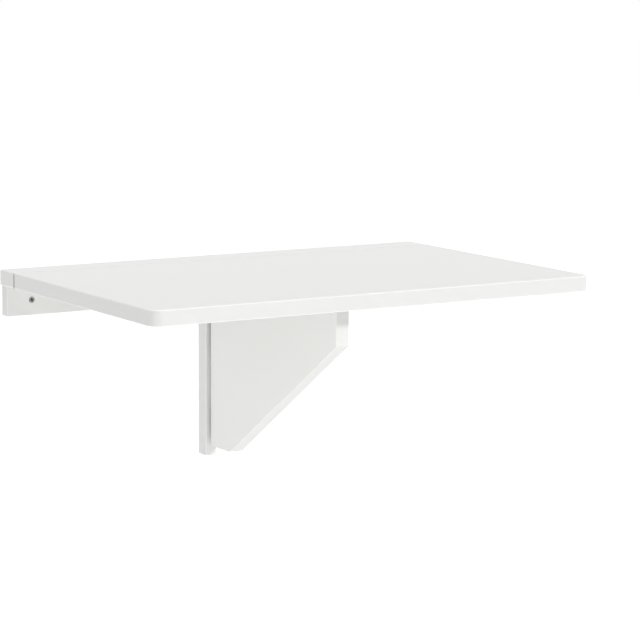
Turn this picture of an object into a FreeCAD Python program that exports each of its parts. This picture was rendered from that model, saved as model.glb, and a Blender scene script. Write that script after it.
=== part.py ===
import FreeCAD, Part
import math
import os

# Wall mounted drop leaf table.
#
# A narrow strip and a rail are screwed to the wall. A leaf hangs on the strip by two butt
# hinges and rests, when open, on a bracket panel that swings on a post under the rail.
#
# Frame, in millimetres: the origin lies on the wall plane, in the middle of the table's
# width, at the height of the row of wall screws. +X runs along the wall to the right as
# seen from the room, +Y points into the wall and +Z points up.

# ---------------------------------------------------------------- driving dimensions

# Top boards
TABLE_WIDTH = 600.0          # along the wall, strip and leaf alike
BOARD_THICKNESS = 19.0       # strip and leaf
STRIP_DEPTH = 38.2           # fixed strip, wall to slit
HINGE_SLIT = 2.5             # gap between the strip and the leaf
LEAF_DEPTH = 359.3           # slit to front edge
LEAF_CORNER_RADIUS = 15.0    # front corners, seen from above
ARRIS_RADIUS = 1.5           # eased long edges of the top boards
SLIT_ARRIS_RADIUS = 0.4      # edges beside the slit, nearly sharp

# Rail under the strip
RAIL_THICKNESS = 15.0
RAIL_HEIGHT = 38.0
RAIL_END_INSET = 2.0
RAIL_ARRIS_RADIUS = 1.2

# Post under the rail
POST_LEFT_X = -23.5          # left face
POST_WIDTH = 15.0
POST_DEPTH = 19.5
POST_LENGTH = 200.0
POST_ARRIS_RADIUS = 1.5

# Bracket panel
PANEL_THICKNESS = 18.0
PANEL_FOOT_LIFT = 13.0       # panel's lower edge above the post's lower end
PANEL_FOOT_DEPTH = 49.5      # straight lower edge, from the inner edge to the slope
PANEL_NOSE_HEIGHT = 54.0     # front edge, down from the leaf
PANEL_RELIEF = 8.0           # top edge lies this far below the leaf, clear of the hinges
PANEL_TIP_LENGTH = 60.0      # raised tip that carries the leaf
PANEL_TIP_FILLET = 7.0
PANEL_HEEL_RADIUS = 5.0      # lower corner beside the post
PANEL_KNEE_RADIUS = 18.0     # where the lower edge turns into the slope
PANEL_NOSE_RADIUS = 3.0
PANEL_TOP_RADIUS = 2.0       # the three corners of the top edge
PANEL_ARRIS_RADIUS = 1.2
PANEL_FOLD_CLEARANCE = 0.5   # folded panel to the rail's front
PANEL_FOLD_END_INSET = 0.5   # folded panel's nose inside the table's end
LEAF_SEAT_GAP = 0.3          # open leaf over the panel's tip

# Stop block under the leaf
STOP_LENGTH = 60.0
STOP_WIDTH = 15.0
STOP_HEIGHT = 12.0
STOP_FRONT_DISTANCE = 140.0  # leaf's front edge to the block
STOP_SIDE_GAP = 0.3          # block to the open panel
STOP_ARRIS_RADIUS = 1.0

# Butt hinges. A knuckle is the flap's own plate rolled round the pin.
KNUCKLE_COUNT = 5
KNUCKLE_ROLL_ANGLE = 285.0   # how far the plate is rolled, in degrees
KNUCKLE_END_GAP = 0.2
PIN_RUNNING_CLEARANCE = 0.05
PIN_HEAD_HEIGHT = 0.9
PIN_HEAD_CHAMFER = 0.4
PIN_HEAD_INSET = 0.3         # head's rim inside the knuckle's outline
FLAP_CLEARANCE = 0.4         # flap plate to the other flap's knuckles
FLAP_CORNER_RADIUS = 2.0

LEAF_HINGE_LENGTH = 50.0
LEAF_HINGE_FLAP_WIDTH = 17.0      # from the pin's axis
LEAF_HINGE_THICKNESS = 1.5
LEAF_HINGE_PIN_RADIUS = 1.5
LEAF_HINGE_END_DISTANCE = 100.0   # table's end to the hinge's middle
LEAF_HINGE_SCREWS = 3
LEAF_HINGE_SCREW_SPACING = 17.0
LEAF_HINGE_SCREW_OFFSET = 10.5    # from the pin's axis

BRACKET_HINGE_LENGTH = 40.0
BRACKET_HINGE_FLAP_WIDTH = 10.0
BRACKET_HINGE_THICKNESS = 1.0
BRACKET_HINGE_PIN_RADIUS = 1.0
BRACKET_HINGE_UPPER_DROP = 43.0   # post's top to the upper hinge's middle
BRACKET_HINGE_LOWER_LIFT = 47.0   # post's lower end to the lower hinge's middle
BRACKET_HINGE_SCREWS = 2
BRACKET_HINGE_SCREW_SPACING = 24.0
BRACKET_HINGE_SCREW_OFFSET = 6.2

# Screws: countersunk, with a cross recess
SCREW_HEAD_RATIO = 2.0       # head's diameter over the thread's
SCREW_POINT_RATIO = 1.3      # point's length over the thread's diameter
RECESS_SPAN_RATIO = 0.60     # recess's span over the head's diameter
RECESS_WIDTH_RATIO = 0.13    # a slot's width over the head's diameter
RECESS_DEPTH_RATIO = 0.25    # depth over the head's diameter
RECESS_FOOT_RATIO = 0.45     # span at the recess's foot over the span at its top
WALL_SCREW_DIAMETER = 4.0
WALL_SCREW_PLAIN_DIAMETER = 2.9
WALL_SCREW_THREAD_LENGTH = 30.0
WALL_SCREW_HOLE_DIAMETER = 4.4
WALL_SCREW_DEPTH = 35.0      # how far a wall screw reaches into the wall
WALL_SCREW_COUNT = 4
WALL_SCREW_END_DISTANCE = 35.0
POST_SCREW_DROP = 17.0       # post's top to the wall screw in the post
LEAF_HINGE_SCREW_DIAMETER = 3.0
LEAF_HINGE_SCREW_LENGTH = 15.0
BRACKET_HINGE_SCREW_DIAMETER = 2.5
BRACKET_HINGE_SCREW_LENGTH = 13.0
STOP_SCREW_DIAMETER = 3.0
STOP_SCREW_LENGTH = 25.0
STOP_SCREW_SPACING = 34.0

# Dowels
DOWEL_DIAMETER = 6.0
DOWEL_CHAMFER = 0.8
DOWEL_END_PLAY = 0.5         # left free at each end of a dowel's hole
STRIP_DOWEL_COUNT = 3
STRIP_DOWEL_END_DISTANCE = 90.0
STRIP_DOWEL_IN_STRIP = 11.0
STRIP_DOWEL_IN_RAIL = 17.0
POST_DOWEL_IN_RAIL = 14.0
POST_DOWEL_IN_POST = 10.0

# ---------------------------------------------------------------- places worked out

HALF_WIDTH = TABLE_WIDTH / 2
UNDERSIDE_Z = RAIL_HEIGHT / 2
TOP_Z = UNDERSIDE_Z + BOARD_THICKNESS
RAIL_BOTTOM_Z = -RAIL_HEIGHT / 2
LEAF_BACK_Y = -(STRIP_DEPTH + HINGE_SLIT)
LEAF_FRONT_Y = LEAF_BACK_Y - LEAF_DEPTH
POST_RIGHT_X = POST_LEFT_X + POST_WIDTH
POST_MID_X = POST_LEFT_X + POST_WIDTH / 2
POST_BOTTOM_Z = RAIL_BOTTOM_Z - POST_LENGTH

LEAF_KNUCKLE_RADIUS = LEAF_HINGE_PIN_RADIUS + LEAF_HINGE_THICKNESS
LEAF_AXIS_Y = -(STRIP_DEPTH + HINGE_SLIT / 2)
LEAF_AXIS_Z = UNDERSIDE_Z - LEAF_KNUCKLE_RADIUS
LEAF_HINGE_X = HALF_WIDTH - LEAF_HINGE_END_DISTANCE

BRACKET_KNUCKLE_RADIUS = BRACKET_HINGE_PIN_RADIUS + BRACKET_HINGE_THICKNESS
BRACKET_AXIS_X = POST_RIGHT_X + BRACKET_KNUCKLE_RADIUS
BRACKET_AXIS_Y = -(POST_DEPTH + BRACKET_KNUCKLE_RADIUS)
BRACKET_HINGE_UPPER_Z = RAIL_BOTTOM_Z - BRACKET_HINGE_UPPER_DROP
BRACKET_HINGE_LOWER_Z = POST_BOTTOM_Z + BRACKET_HINGE_LOWER_LIFT

PANEL_INNER_Y = BRACKET_AXIS_Y - BRACKET_KNUCKLE_RADIUS
PANEL_RIGHT_X = BRACKET_AXIS_X - BRACKET_AXIS_Y - RAIL_THICKNESS - PANEL_FOLD_CLEARANCE
PANEL_LEFT_X = PANEL_RIGHT_X - PANEL_THICKNESS
PANEL_NOSE_Y = BRACKET_AXIS_Y - (HALF_WIDTH - PANEL_FOLD_END_INSET - BRACKET_AXIS_X)
PANEL_TIP_Z = UNDERSIDE_Z - LEAF_SEAT_GAP
PANEL_TOP_Z = UNDERSIDE_Z - PANEL_RELIEF
PANEL_BOTTOM_Z = POST_BOTTOM_Z + PANEL_FOOT_LIFT

STOP_RIGHT_X = PANEL_LEFT_X - STOP_SIDE_GAP
STOP_FRONT_Y = LEAF_FRONT_Y + STOP_FRONT_DISTANCE

X_AXIS = FreeCAD.Vector(1, 0, 0)
Y_AXIS = FreeCAD.Vector(0, 1, 0)
Z_AXIS = FreeCAD.Vector(0, 0, 1)
TINY = 1e-4


# ---------------------------------------------------------------- general helpers

def vec(x, y, z):
    return FreeCAD.Vector(x, y, z)


def save(name, *solids):
    """Write one node: a single solid, or several separate ones."""
    shape = solids[0] if len(solids) == 1 else Part.makeCompound(list(solids))
    if not shape.isValid():
        raise RuntimeError(name + " is not a valid shape")
    shape.exportStep(os.path.join("parts", name + ".step"))
    print(name, len(shape.Solids), "solid(s), volume", round(shape.Volume, 1))


def box_between(low, high):
    """A box from its lowest to its highest corner."""
    size = high - low
    return Part.makeBox(size.x, size.y, size.z, low)


def place(shape, origin, x_dir, y_dir):
    """Move a shape from its own frame to an origin and two directions at right angles."""
    z_dir = x_dir.cross(y_dir)
    turned = FreeCAD.Matrix(
        x_dir.x, y_dir.x, z_dir.x, origin.x,
        x_dir.y, y_dir.y, z_dir.y, origin.y,
        x_dir.z, y_dir.z, z_dir.z, origin.z,
        0, 0, 0, 1)
    moved = shape.copy()
    moved.Placement = FreeCAD.Placement(turned).multiply(shape.Placement)
    return moved


def even_places(count, end):
    """Evenly spaced places from -end to +end."""
    if count == 1:
        return [0.0]
    return [-end + 2 * end * i / (count - 1) for i in range(count)]


def edges_where(shape, test):
    """The edges whose middle passes the test."""
    found = []
    for edge in shape.Edges:
        first, last = edge.ParameterRange
        if test(edge.valueAt((first + last) / 2)):
            found.append(edge)
    return found


def at(value, target):
    return abs(value - target) < TINY


# ---------------------------------------------------------------- screws and dowels

def turned(*outline):
    """A solid of revolution about Z, from the (radius, z) points of its half outline."""
    points = [vec(radius, 0, z) for radius, z in outline]
    points.append(points[0])
    return Part.Face(Part.makePolygon(points)).revolve(vec(0, 0, 0), Z_AXIS, 360)


class WoodScrew:
    """A countersunk screw: its head's flat top at z = 0, its point towards -Z."""

    def __init__(self, length, diameter, thread_length=None, plain_diameter=None, hole_diameter=None):
        self.length = length
        self.radius = diameter / 2
        self.head_radius = SCREW_HEAD_RATIO * diameter / 2
        self.point_length = SCREW_POINT_RATIO * diameter
        self.thread_length = thread_length
        self.plain_radius = (plain_diameter or diameter) / 2
        self.hole_radius = (hole_diameter or diameter) / 2

    def blank(self):
        """The screw without its recess. A thread is drawn at its outer diameter."""
        neck_z = self.plain_radius - self.head_radius
        outline = [(0, 0), (self.head_radius, 0), (self.plain_radius, neck_z)]
        if self.thread_length:
            thread_z = self.thread_length - self.length
            run_out = self.radius - self.plain_radius
            outline += [(self.plain_radius, thread_z), (self.radius, thread_z - run_out)]
        outline += [(self.radius, self.point_length - self.length), (0, -self.length)]
        return turned(*outline)

    def recess(self):
        """Two crossed blades that narrow downwards, as a driver's point does."""
        head = 2 * self.head_radius
        reach = RECESS_SPAN_RATIO * head / 2
        foot = RECESS_FOOT_RATIO * reach
        depth = RECESS_DEPTH_RATIO * head
        width = RECESS_WIDTH_RATIO * head
        near = -width / 2
        blade = Part.Face(Part.makePolygon([
            vec(-reach, near, 0), vec(reach, near, 0), vec(foot, near, -depth), vec(-foot, near, -depth),
            vec(-reach, near, 0)])).extrude(vec(0, width, 0))
        crossed = blade.copy()
        crossed.rotate(vec(0, 0, 0), Z_AXIS, 90)
        return blade.fuse(crossed)

    def body(self):
        return self.blank().cut(self.recess())

    def hole(self):
        """What the screw takes out of the wood: its own blank, or a wider clearance hole."""
        if self.hole_radius == self.radius:
            return self.blank()
        sink_z = self.hole_radius - self.head_radius
        return turned((0, 0), (self.head_radius, 0), (self.hole_radius, sink_z),
                      (self.hole_radius, -self.length), (0, -self.length))


def wall_screw(board):
    """A partly threaded screw that goes through a board of this thickness into the wall."""
    return WoodScrew(board + WALL_SCREW_DEPTH, WALL_SCREW_DIAMETER, WALL_SCREW_THREAD_LENGTH,
                     WALL_SCREW_PLAIN_DIAMETER, WALL_SCREW_HOLE_DIAMETER)


RAIL_SCREW = wall_screw(RAIL_THICKNESS)
POST_SCREW = wall_screw(POST_DEPTH)
STOP_SCREW = WoodScrew(STOP_SCREW_LENGTH, STOP_SCREW_DIAMETER)


def dowel(length):
    """A wooden dowel with chamfered ends, from z = 0 to its length."""
    r = DOWEL_DIAMETER / 2
    c = DOWEL_CHAMFER
    return turned((0, 0), (r - c, 0), (r, c), (r, length - c), (r - c, length), (0, length))


def dowel_hole(length):
    """The drilled hole of a dowel, a little longer at both ends."""
    return Part.makeCylinder(DOWEL_DIAMETER / 2, length + 2 * DOWEL_END_PLAY, vec(0, 0, -DOWEL_END_PLAY))


# ---------------------------------------------------------------- butt hinges

class ButtHinge:
    """A small pressed butt hinge, in its own frame.

    The pin lies on the Z axis and the middle of the hinge is at z = 0. A flap reaches out
    along +X. Its back, which lies on the wood, is in the plane y = +knuckle_radius.
    """

    def __init__(self, length, flap_width, thickness, pin_radius, screw, screw_places, screw_offset):
        self.length = length
        self.flap_width = flap_width
        self.thickness = thickness
        self.pin_radius = pin_radius
        self.knuckle_radius = pin_radius + thickness
        self.screw = screw
        self.screw_places = screw_places
        self.screw_offset = screw_offset

    def knuckle_spans(self, outer):
        """Lower and upper end of each knuckle of the outer or of the inner set."""
        pitch = self.length / KNUCKLE_COUNT
        spans = []
        for i in range(0 if outer else 1, KNUCKLE_COUNT, 2):
            low = -self.length / 2 + i * pitch
            high = low + pitch
            low += KNUCKLE_END_GAP / 2 if i > 0 else 0
            high -= KNUCKLE_END_GAP / 2 if i < KNUCKLE_COUNT - 1 else 0
            spans.append((low, high))
        return spans

    def at_screws(self, shape):
        """Copies of a screw's own shape at its holes: head flush, point into the wood."""
        return [place(shape, vec(self.screw_offset, self.pin_radius, z), X_AXIS, Z_AXIS)
                for z in self.screw_places]

    def screws(self):
        return self.at_screws(self.screw.body())

    def screw_holes(self):
        return self.at_screws(self.screw.hole())

    def roll(self, low, high):
        """One knuckle: the plate carried on round the pin, open where it meets the plate."""
        height = high - low
        sector = Part.makeCylinder(self.knuckle_radius, height, vec(0, 0, low), Z_AXIS, KNUCKLE_ROLL_ANGLE)
        sector.rotate(vec(0, 0, 0), Z_AXIS, 90)
        reach = self.knuckle_radius + FLAP_CLEARANCE
        plate = box_between(vec(0, self.pin_radius, low), vec(reach, self.knuckle_radius, high))
        return sector.fuse(plate)

    def flap(self, outer):
        """One flap with its knuckles, screw holes and bore."""
        half = self.length / 2
        near = self.knuckle_radius + FLAP_CLEARANCE
        body = box_between(vec(near, self.pin_radius, -half), vec(self.flap_width, self.knuckle_radius, half))
        corners = edges_where(body, lambda p: at(p.x, self.flap_width) and at(abs(p.z), half))
        body = body.makeFillet(FLAP_CORNER_RADIUS, corners)
        body = body.fuse([self.roll(low, high) for low, high in self.knuckle_spans(outer)])
        bore = self.pin_radius if outer else self.pin_radius + PIN_RUNNING_CLEARANCE
        body = body.cut([Part.makeCylinder(bore, self.length, vec(0, 0, -half))] + self.screw_holes())
        return body.removeSplitter()

    def pin(self):
        """The pin, with a low chamfered head beyond each end of the knuckles."""
        low = self.length / 2
        high = low + PIN_HEAD_HEIGHT
        rim = self.knuckle_radius - PIN_HEAD_INSET
        top = rim - PIN_HEAD_CHAMFER
        shoulder = high - PIN_HEAD_CHAMFER
        return turned((0, -high), (top, -high), (rim, -shoulder), (rim, -low), (self.pin_radius, -low),
                      (self.pin_radius, low), (rim, low), (rim, shoulder), (top, high), (0, high))


LEAF_HINGE = ButtHinge(
    LEAF_HINGE_LENGTH, LEAF_HINGE_FLAP_WIDTH, LEAF_HINGE_THICKNESS, LEAF_HINGE_PIN_RADIUS,
    WoodScrew(LEAF_HINGE_SCREW_LENGTH, LEAF_HINGE_SCREW_DIAMETER),
    even_places(LEAF_HINGE_SCREWS, LEAF_HINGE_SCREW_SPACING * (LEAF_HINGE_SCREWS - 1) / 2),
    LEAF_HINGE_SCREW_OFFSET)
BRACKET_HINGE = ButtHinge(
    BRACKET_HINGE_LENGTH, BRACKET_HINGE_FLAP_WIDTH, BRACKET_HINGE_THICKNESS, BRACKET_HINGE_PIN_RADIUS,
    WoodScrew(BRACKET_HINGE_SCREW_LENGTH, BRACKET_HINGE_SCREW_DIAMETER),
    even_places(BRACKET_HINGE_SCREWS, BRACKET_HINGE_SCREW_SPACING * (BRACKET_HINGE_SCREWS - 1) / 2),
    BRACKET_HINGE_SCREW_OFFSET)


def on_strip(shape, x):
    """From the hinge's frame to the strip's underside: the flap reaches towards the wall."""
    return place(shape, vec(x, LEAF_AXIS_Y, LEAF_AXIS_Z), Y_AXIS, Z_AXIS)


def on_leaf(shape, x):
    """From the hinge's frame to the leaf's underside: the flap reaches into the room."""
    return place(shape, vec(x, LEAF_AXIS_Y, LEAF_AXIS_Z), -Y_AXIS, Z_AXIS)


def on_post(shape, z):
    """From the hinge's frame to the post's right face: the flap reaches towards the wall."""
    return place(shape, vec(BRACKET_AXIS_X, BRACKET_AXIS_Y, z), Y_AXIS, -X_AXIS)


def on_panel(shape, z):
    """From the hinge's frame to the open panel's inner edge: the flap reaches to the left."""
    return place(shape, vec(BRACKET_AXIS_X, BRACKET_AXIS_Y, z), -X_AXIS, -Y_AXIS)


LEAF_HINGES = {"left": -LEAF_HINGE_X, "right": LEAF_HINGE_X}
BRACKET_HINGES = {"upper": BRACKET_HINGE_UPPER_Z, "lower": BRACKET_HINGE_LOWER_Z}


# ---------------------------------------------------------------- fixings' places

def at_rail_screws(shape):
    """The row of wall screws: heads flush with the rail's front, points into the wall."""
    return [place(shape, vec(x, -RAIL_THICKNESS, 0), X_AXIS, Z_AXIS)
            for x in even_places(WALL_SCREW_COUNT, HALF_WIDTH - WALL_SCREW_END_DISTANCE)]


def at_post_screw(shape):
    """The wall screw through the post, just under the rail."""
    return place(shape, vec(POST_MID_X, -POST_DEPTH, RAIL_BOTTOM_Z - POST_SCREW_DROP), X_AXIS, Z_AXIS)


def at_stop_screws(shape):
    """Two screws from below through the stop block into the leaf."""
    x = STOP_RIGHT_X - STOP_WIDTH / 2
    mid_y = STOP_FRONT_Y + STOP_LENGTH / 2
    z = UNDERSIDE_Z - STOP_HEIGHT
    return [place(shape, vec(x, mid_y + y, z), X_AXIS, -Y_AXIS)
            for y in even_places(2, STOP_SCREW_SPACING / 2)]


def strip_dowels(make):
    """Upright dowels, or their holes, that join the strip to the rail."""
    foot_z = UNDERSIDE_Z - STRIP_DOWEL_IN_RAIL
    piece = make(STRIP_DOWEL_IN_STRIP + STRIP_DOWEL_IN_RAIL)
    return [place(piece, vec(x, -RAIL_THICKNESS / 2, foot_z), X_AXIS, Y_AXIS)
            for x in even_places(STRIP_DOWEL_COUNT, HALF_WIDTH - STRIP_DOWEL_END_DISTANCE)]


def post_dowel(make):
    """The upright dowel, or its hole, that joins the post to the rail."""
    foot = vec(POST_MID_X, -RAIL_THICKNESS / 2, RAIL_BOTTOM_Z - POST_DOWEL_IN_POST)
    return place(make(POST_DOWEL_IN_RAIL + POST_DOWEL_IN_POST), foot, X_AXIS, Y_AXIS)


# ---------------------------------------------------------------- boards

def wall_strip():
    """The fixed strip of the top: square at the wall, eased at its ends, sharp at the slit."""
    body = box_between(vec(-HALF_WIDTH, -STRIP_DEPTH, UNDERSIDE_Z), vec(HALF_WIDTH, 0, TOP_Z))
    ends = edges_where(body, lambda p: at(abs(p.x), HALF_WIDTH) and (at(p.z, TOP_Z) or at(p.z, UNDERSIDE_Z)))
    body = body.makeFillet(ARRIS_RADIUS, ends)
    slit = edges_where(body, lambda p: at(p.y, -STRIP_DEPTH) and at(p.z, TOP_Z))
    body = body.makeFillet(SLIT_ARRIS_RADIUS, slit)
    holes = [on_strip(hole, x) for x in LEAF_HINGES.values() for hole in LEAF_HINGE.screw_holes()]
    return body.cut(holes + strip_dowels(dowel_hole))


def wall_rail():
    """The rail that carries the strip and takes the wall screws."""
    end = HALF_WIDTH - RAIL_END_INSET
    body = box_between(vec(-end, -RAIL_THICKNESS, RAIL_BOTTOM_Z), vec(end, 0, UNDERSIDE_Z))
    eased = edges_where(body, lambda p: (at(p.z, RAIL_BOTTOM_Z) and not at(p.y, 0))
                        or (at(abs(p.x), end) and at(p.y, -RAIL_THICKNESS)))
    body = body.makeFillet(RAIL_ARRIS_RADIUS, eased)
    holes = at_rail_screws(RAIL_SCREW.hole())
    return body.cut(holes + strip_dowels(dowel_hole) + [post_dowel(dowel_hole)])


def hinge_post():
    """The post under the rail, with eased front, side and lower edges."""
    body = box_between(vec(POST_LEFT_X, -POST_DEPTH, POST_BOTTOM_Z), vec(POST_RIGHT_X, 0, RAIL_BOTTOM_Z))
    eased = edges_where(body, lambda p: not at(p.y, 0) and not at(p.z, RAIL_BOTTOM_Z))
    body = body.makeFillet(POST_ARRIS_RADIUS, eased)
    holes = [on_post(hole, z) for z in BRACKET_HINGES.values() for hole in BRACKET_HINGE.screw_holes()]
    return body.cut(holes + [at_post_screw(POST_SCREW.hole()), post_dowel(dowel_hole)])


def leaf():
    """The drop leaf: rounded front corners, eased edges all round but for the slit."""
    body = box_between(vec(-HALF_WIDTH, LEAF_FRONT_Y, UNDERSIDE_Z), vec(HALF_WIDTH, LEAF_BACK_Y, TOP_Z))
    corners = edges_where(body, lambda p: at(abs(p.x), HALF_WIDTH) and at(p.y, LEAF_FRONT_Y))
    body = body.makeFillet(LEAF_CORNER_RADIUS, corners)
    rims = edges_where(body, lambda p: (at(p.z, TOP_Z) or at(p.z, UNDERSIDE_Z)) and not at(p.y, LEAF_BACK_Y))
    body = body.makeFillet(ARRIS_RADIUS, rims)
    slit = edges_where(body, lambda p: at(p.y, LEAF_BACK_Y) and at(p.z, TOP_Z))
    body = body.makeFillet(SLIT_ARRIS_RADIUS, slit)
    holes = [on_leaf(hole, x) for x in LEAF_HINGES.values() for hole in LEAF_HINGE.screw_holes()]
    return body.cut(holes + at_stop_screws(STOP_SCREW.hole()))


def stop_block():
    """The block under the leaf that the open panel comes to rest against."""
    low = vec(STOP_RIGHT_X - STOP_WIDTH, STOP_FRONT_Y, UNDERSIDE_Z - STOP_HEIGHT)
    high = vec(STOP_RIGHT_X, STOP_FRONT_Y + STOP_LENGTH, UNDERSIDE_Z)
    body = box_between(low, high)
    body = body.makeFillet(STOP_ARRIS_RADIUS, edges_where(body, lambda p: at(p.z, low.z)))
    return body.cut(at_stop_screws(STOP_SCREW.hole()))


def arc_corner(before, corner, after, radius):
    """Tangent points and mid-point of the arc that rounds one corner of an outline."""
    u = (before - corner).normalize()
    w = (after - corner).normalize()
    half = math.acos(max(-1.0, min(1.0, u.dot(w)))) / 2
    reach = radius / math.tan(half)
    centre = corner + (u + w).normalize() * (radius / math.sin(half))
    middle = centre + (corner - centre).normalize() * radius
    return corner + u * reach, middle, corner + w * reach


def rounded_outline(corners):
    """A closed wire through corners given as (point, radius), each rounded by its radius."""
    points = [c[0] for c in corners]
    edges = []
    last = None
    first = None
    for i, (point, radius) in enumerate(corners):
        start, middle, end = arc_corner(points[i - 1], point, points[(i + 1) % len(points)], radius)
        if last is None:
            first = start
        else:
            edges.append(Part.makeLine(last, start))
        edges.append(Part.Arc(start, middle, end).toShape())
        last = end
    edges.append(Part.makeLine(last, first))
    return Part.Wire(edges)


def bracket_panel():
    """The swinging panel, cut from board: a raised tip, a straight foot and a slope between.

    The top edge is lowered from the inner edge to the tip, so that it passes under the
    leaf's hinges as the panel swings.
    """
    tip_back_y = PANEL_NOSE_Y + PANEL_TIP_LENGTH
    slope_top_z = UNDERSIDE_Z - PANEL_NOSE_HEIGHT
    foot_y = PANEL_INNER_Y - PANEL_FOOT_DEPTH
    step = PANEL_TIP_Z - PANEL_TOP_Z
    outline = rounded_outline([
        (vec(0, PANEL_INNER_Y, PANEL_BOTTOM_Z), PANEL_HEEL_RADIUS),
        (vec(0, foot_y, PANEL_BOTTOM_Z), PANEL_KNEE_RADIUS),
        (vec(0, PANEL_NOSE_Y, slope_top_z), PANEL_NOSE_RADIUS),
        (vec(0, PANEL_NOSE_Y, PANEL_TIP_Z), PANEL_TOP_RADIUS),
        (vec(0, tip_back_y, PANEL_TIP_Z), PANEL_TOP_RADIUS),
        (vec(0, tip_back_y + step, PANEL_TOP_Z), PANEL_TIP_FILLET),
        (vec(0, PANEL_INNER_Y, PANEL_TOP_Z), PANEL_TOP_RADIUS),
    ])
    body = Part.Face(outline).extrude(vec(PANEL_THICKNESS, 0, 0))
    body.translate(vec(PANEL_LEFT_X, 0, 0))
    rims = edges_where(body, lambda p: at(p.x, PANEL_LEFT_X) or at(p.x, PANEL_RIGHT_X))
    body = body.makeFillet(PANEL_ARRIS_RADIUS, rims)
    holes = [on_panel(hole, z) for z in BRACKET_HINGES.values() for hole in BRACKET_HINGE.screw_holes()]
    return body.cut(holes)


# ---------------------------------------------------------------- nodes

def main():
    os.makedirs("parts", exist_ok=True)

    save("wall_strip", wall_strip())
    save("wall_rail", wall_rail())
    save("hinge_post", hinge_post())
    save("leaf", leaf())
    save("stop_block", stop_block())
    save("bracket_panel", bracket_panel())

    save("rail_wall_screws", *at_rail_screws(RAIL_SCREW.body()))
    save("post_wall_screw", at_post_screw(POST_SCREW.body()))
    save("strip_dowels", *strip_dowels(dowel))
    save("post_dowel", post_dowel(dowel))
    save("stop_block_screws", *at_stop_screws(STOP_SCREW.body()))

    for side, x in LEAF_HINGES.items():
        name = "leaf_hinge_" + side
        save(name + "_strip_flap", on_strip(LEAF_HINGE.flap(outer=True), x))
        save(name + "_leaf_flap", on_leaf(LEAF_HINGE.flap(outer=False), x))
        save(name + "_pin", on_strip(LEAF_HINGE.pin(), x))
        save(name + "_strip_screws", *[on_strip(s, x) for s in LEAF_HINGE.screws()])
        save(name + "_leaf_screws", *[on_leaf(s, x) for s in LEAF_HINGE.screws()])

    for side, z in BRACKET_HINGES.items():
        name = "bracket_hinge_" + side
        save(name + "_post_flap", on_post(BRACKET_HINGE.flap(outer=True), z))
        save(name + "_panel_flap", on_panel(BRACKET_HINGE.flap(outer=False), z))
        save(name + "_pin", on_post(BRACKET_HINGE.pin(), z))
        save(name + "_post_screws", *[on_post(s, z) for s in BRACKET_HINGE.screws()])
        save(name + "_panel_screws", *[on_panel(s, z) for s in BRACKET_HINGE.screws()])


main()
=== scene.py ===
"""Looks of a wall mounted drop leaf table: lacquered boards, plated hinges and threaded screws.

Every length is in metres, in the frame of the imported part: the origin lies on the wall plane
at the row of wall screws, +X runs to the right along the wall, +Y into the wall and +Z up.
"""

import logging
import math
from dataclasses import dataclass, field
from enum import Enum
from functools import cache, reduce
from typing import ClassVar

import bpy
import numpy as np
from bpy.types import Material, Node, NodeSocket, NodeTree
from mathutils import Euler, Matrix, Vector
from mathutils.geometry import tessellate_polygon


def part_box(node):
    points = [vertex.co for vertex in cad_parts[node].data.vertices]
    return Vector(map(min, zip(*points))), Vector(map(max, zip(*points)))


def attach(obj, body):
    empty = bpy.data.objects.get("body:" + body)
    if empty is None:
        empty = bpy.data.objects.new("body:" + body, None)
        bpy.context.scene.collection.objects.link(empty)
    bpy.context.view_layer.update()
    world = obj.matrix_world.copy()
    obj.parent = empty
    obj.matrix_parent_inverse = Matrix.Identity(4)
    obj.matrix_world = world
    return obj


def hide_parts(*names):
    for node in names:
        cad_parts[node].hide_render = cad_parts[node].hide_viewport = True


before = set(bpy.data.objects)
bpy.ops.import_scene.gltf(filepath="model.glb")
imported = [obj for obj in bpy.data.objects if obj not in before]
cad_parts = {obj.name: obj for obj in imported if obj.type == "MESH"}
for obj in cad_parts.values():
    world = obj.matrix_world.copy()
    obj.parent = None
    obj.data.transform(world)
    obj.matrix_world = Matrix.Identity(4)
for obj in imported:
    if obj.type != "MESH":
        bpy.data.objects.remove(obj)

Array = np.ndarray
Colour = tuple[float, float, float, float]
Triple = tuple[float, float, float]
Value = NodeSocket | float | tuple[float, ...]
ThreeValues = tuple[NodeSocket, NodeSocket, NodeSocket]

LOG = logging.getLogger("drop_leaf_table")
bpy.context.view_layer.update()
MM = 0.001

SHARP = 0.15 * MM  # the radius of an edge that is only broken
NO_AREA = 1e-16  # twice the area, in square metres, up to which a triangle is dropped
CREASE = 32.0  # on pieces without normals of their own, edges that turn by more degrees stay sharp
SIDE_POWER = 4  # how fast the mask of a board's side fades towards its faces

# Masks per point: the arris mask carries a painted highlight, the slit and recess masks carry painted
# shade.
ARRIS_HIGHLIGHT_MASK = "arris"
SIDE_MASK = "board_side"
SLIT_SHADE_MASK = "slit_side"
RECESS_SHADE_MASK = "recess"

WHITE = (1.0, 1.0, 1.0, 1.0)
UNSTRETCHED = (1.0, 1.0, 1.0)


# ---- options

class Body(Enum):
    """The bodies that move against each other."""

    WALL_FRAME = "wall_frame"
    DROP_LEAF = "drop_leaf"
    BRACKET = "bracket"


class Slot(Enum):
    """The part's material slots."""

    LACQUER = "white_lacquer"
    HINGE = "nickel_hinge"
    NICKEL_SCREW = "nickel_screw"
    ZINC_SCREW = "zinc_screw"
    BEECH = "beech_dowel"


class Lie(Enum):
    """How a board lies: the frame's axes of its outline's u and v and of its thickness w."""

    FLAT = (0, 1, 2)
    FACING_ROOM = (0, 2, 1)
    FACING_SIDE = (1, 2, 0)


class HeadSide(Enum):
    """The end of its shaft that a screw's head is at, as a direction along the axis."""

    LOW = -1.0
    HIGH = 1.0


# ---- surfaces

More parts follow.
